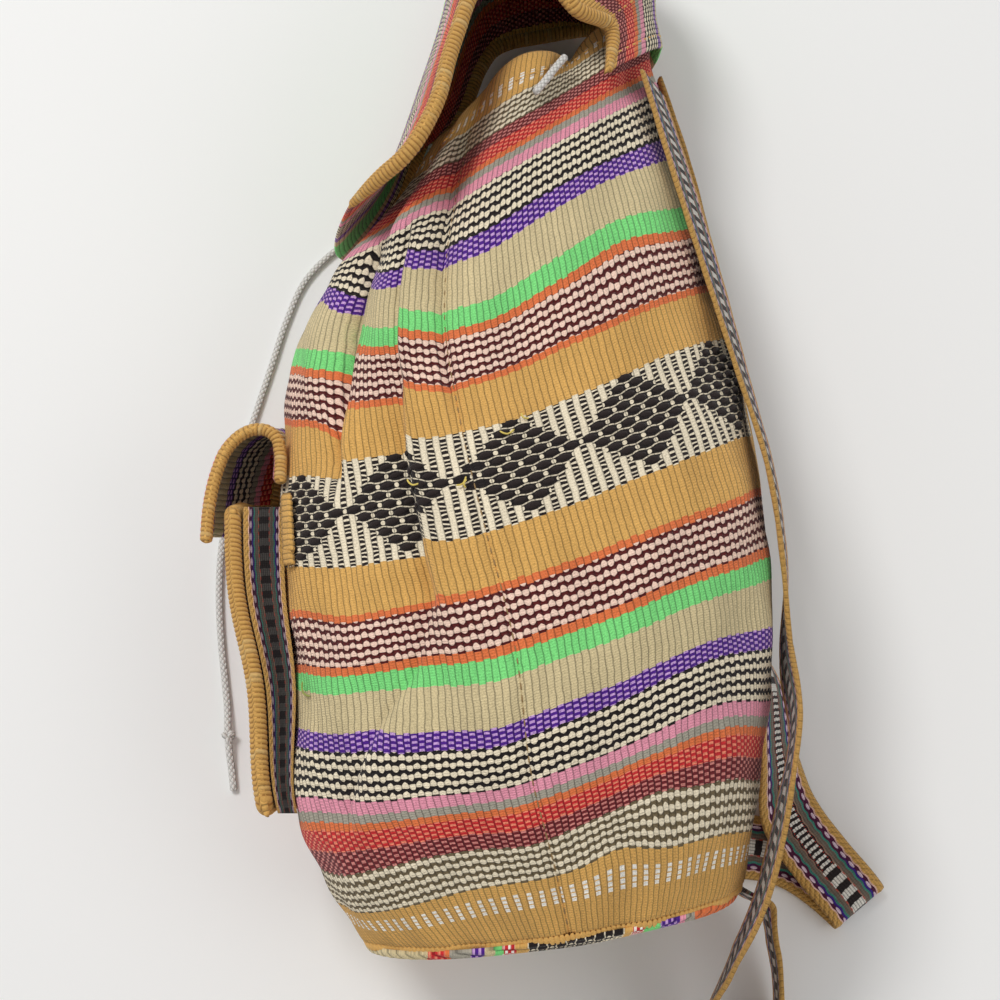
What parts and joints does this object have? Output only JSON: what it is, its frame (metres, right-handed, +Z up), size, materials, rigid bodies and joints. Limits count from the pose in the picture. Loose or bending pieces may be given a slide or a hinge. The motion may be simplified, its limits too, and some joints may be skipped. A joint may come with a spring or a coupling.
{
  "type": "woven bucket backpack",
  "caption": "Soft striped woven bucket backpack lying on its side, with gathered mouth, flap, front pocket, woven shoulder straps and drawstring.",
  "frame": {"origin": "on the flat underside that the bag lies on, below the middle of its body", "axes": "+Z up from the floor, +Y from the base to the mouth, +X from the front with its pocket to the back with its straps"},
  "size_m": [0.3509, 0.6772, 0.1646],
  "materials": {
    "striped_cloth": "thick ribbed handwoven cloth, matt, in coloured stripes",
    "woven_band": "narrow woven band with mustard selvedges and black and white blocks, matt",
    "white_cord": "thin braided cord, matt off-white"
  },
  "bodies": {
    "root": {"front_panel": "striped_cloth", "back_panel": "striped_cloth", "base_panel": "striped_cloth", "main_flap": "striped_cloth", "pocket_front": "striped_cloth", "pocket_flap": "striped_cloth", "pocket_gusset": "woven_band", "shoulder_strap_near": "woven_band", "shoulder_strap_far": "woven_band", "drawstring_tail": "white_cord", "drawstring_tip": "white_cord", "drawstring_end": "white_cord", "drawstring_knot": "white_cord"}
  },
  "joints": []
}
